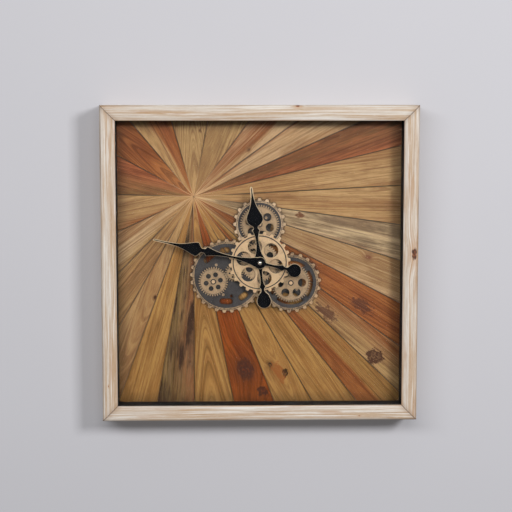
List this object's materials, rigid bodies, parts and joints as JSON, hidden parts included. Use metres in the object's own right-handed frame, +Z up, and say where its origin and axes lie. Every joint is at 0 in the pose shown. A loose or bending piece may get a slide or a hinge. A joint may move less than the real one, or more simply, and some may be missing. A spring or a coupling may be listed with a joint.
{
  "type": "gear wall clock",
  "caption": "Square wooden shadow-box wall clock with a sunburst of tapered planks, a moving gear train and two spade hands behind glass.",
  "frame": {"origin": "the nail: centre of the round part of the hanger plate's keyhole, on the wall's face", "axes": "+X to the right as seen from the front, +Y into the wall, +Z up"},
  "size_m": [0.6, 0.07, 0.6],
  "materials": {
    "limed_wood": "limed and brushed, satin",
    "clear_glass": "clear",
    "black_liner": "matt",
    "fibreboard": "raw",
    "honey_timber": "oiled satin",
    "tan_timber": "oiled satin",
    "russet_timber": "oiled satin",
    "brown_timber": "oiled satin",
    "weathered_timber": "weathered satin",
    "zinc_steel": "zinc plated",
    "dark_metal": "black with bronze rubbed on its edges",
    "pale_bronze": "rubbed bronze",
    "bronze": "rubbed bronze",
    "brass": "turned",
    "black_lacquer": "satin black with a pale edge",
    "bright_cap": "polished",
    "black_plastic": "moulded",
    "ivory_plastic": "moulded",
    "rubber": "matt",
    "felt": "pressed felt",
    "cell_sleeve": "printed sleeve, plain",
    "copper": "enamelled wire",
    "board_green": "glossy"
  },
  "bodies": {
    "clock_case": {"frame_rail_top": "limed_wood", "frame_rail_right": "limed_wood", "frame_rail_bottom": "limed_wood", "frame_rail_left": "limed_wood", "glass_pane": "clear_glass", "liner_top": "black_liner", "liner_bottom": "black_liner", "liner_left": "black_liner", "liner_right": "black_liner", "backing_board": "fibreboard", "backing_points": "zinc_steel", "planks_honey": "honey_timber", "planks_tan": "tan_timber", "planks_russet": "russet_timber", "planks_brown": "brown_timber", "planks_weathered": "weathered_timber", "hanger_plate": "zinc_steel", "hanger_screws": "zinc_steel", "corner_braces": "zinc_steel", "brace_screws": "zinc_steel", "wall_bumpers": "felt", "gear_carrier": "dark_metal", "left_base_plate": "dark_metal", "right_base_ring": "dark_metal", "top_base_ring": "bronze", "base_screws": "zinc_steel", "gear_pins": "bronze", "main_gear_bush": "brass", "bushing_nut": "brass", "movement_case": "black_plastic", "movement_cover": "black_plastic", "threaded_bushing": "brass", "rubber_washer": "rubber", "movement_cell": "cell_sleeve", "movement_contacts": "zinc_steel", "movement_coil": "copper", "circuit_board": "board_green", "drive_case": "black_plastic", "drive_cover": "black_plastic", "drive_motor": "zinc_steel", "drive_cell": "cell_sleeve", "drive_contacts": "zinc_steel", "drive_screws": "zinc_steel"},
    "main_gears": {"main_gear": "pale_bronze", "main_fine_gear": "pale_bronze"},
    "top_gears": {"top_gear": "bronze"},
    "right_gears": {"right_gear": "bronze", "drive_shaft": "zinc_steel"},
    "idler": {"idler_gear": "bronze"},
    "left_gears": {"left_gear": "bronze"},
    "drive_reduction": {"drive_wheel": "ivory_plastic"},
    "motor_rotor": {"motor_pinion": "brass"},
    "minute": {"minute_hand": "black_lacquer", "minute_arbor": "brass", "hand_nut": "bright_cap"},
    "hour": {"hour_hand": "black_lacquer", "hour_wheel": "ivory_plastic"},
    "motion_wheel": {"minute_wheel": "ivory_plastic"},
    "knob": {"setting_knob": "ivory_plastic"}
  },
  "joints": [
    {"name": "minute_turn", "type": "hinge", "parent": "clock_case", "child": "minute", "pos_m": [0, -0.04, -0.2865], "axis": [0, -1, 0], "continuous": true},
    {"name": "hour_turn", "type": "hinge", "parent": "clock_case", "child": "hour", "pos_m": [0, -0.04, -0.2865], "axis": [0, -1, 0], "continuous": true},
    {"name": "motion_wheel_turn", "type": "hinge", "parent": "clock_case", "child": "motion_wheel", "pos_m": [-0.01039, -0.014, -0.2925], "axis": [0, -1, 0], "continuous": true},
    {"name": "knob_turn", "type": "hinge", "parent": "clock_case", "child": "knob", "pos_m": [-0.01433, -0.01, -0.30331], "axis": [0, -1, 0], "continuous": true},
    {"name": "main_turn", "type": "hinge", "parent": "clock_case", "child": "main_gears", "pos_m": [0, -0.04, -0.2865], "axis": [0, -1, 0], "continuous": true},
    {"name": "top_turn", "type": "hinge", "parent": "clock_case", "child": "top_gears", "pos_m": [0, -0.04, -0.2145], "axis": [0, -1, 0], "continuous": true},
    {"name": "right_turn", "type": "hinge", "parent": "clock_case", "child": "right_gears", "pos_m": [0.05969, -0.04, -0.32676], "axis": [0, -1, 0], "continuous": true},
    {"name": "idler_turn", "type": "hinge", "parent": "clock_case", "child": "idler", "pos_m": [-0.04854, -0.04, -0.30651], "axis": [0, -1, 0], "continuous": true},
    {"name": "left_turn", "type": "hinge", "parent": "clock_case", "child": "left_gears", "pos_m": [-0.0884, -0.04, -0.32392], "axis": [0, -1, 0], "continuous": true},
    {"name": "reduction_turn", "type": "hinge", "parent": "clock_case", "child": "drive_reduction", "pos_m": [0.07176, -0.015, -0.32353], "axis": [0, -1, 0], "continuous": true},
    {"name": "motor_turn", "type": "hinge", "parent": "clock_case", "child": "motor_rotor", "pos_m": [0.08219, -0.014, -0.32839], "axis": [0, -1, 0], "continuous": true}
  ],
  "couplings": [
    {"joint": "hour_turn", "follows": "minute_turn", "ratio": 0.083333},
    {"joint": "motion_wheel_turn", "follows": "minute_turn", "ratio": -0.33333},
    {"joint": "knob_turn", "follows": "minute_turn", "ratio": 1.2},
    {"joint": "top_turn", "follows": "main_turn", "ratio": -1},
    {"joint": "right_turn", "follows": "main_turn", "ratio": -1},
    {"joint": "idler_turn", "follows": "main_turn", "ratio": -2.1818},
    {"joint": "left_turn", "follows": "main_turn", "ratio": 1.3333},
    {"joint": "reduction_turn", "follows": "main_turn", "ratio": 4},
    {"joint": "motor_turn", "follows": "main_turn", "ratio": -14.4}
  ]
}
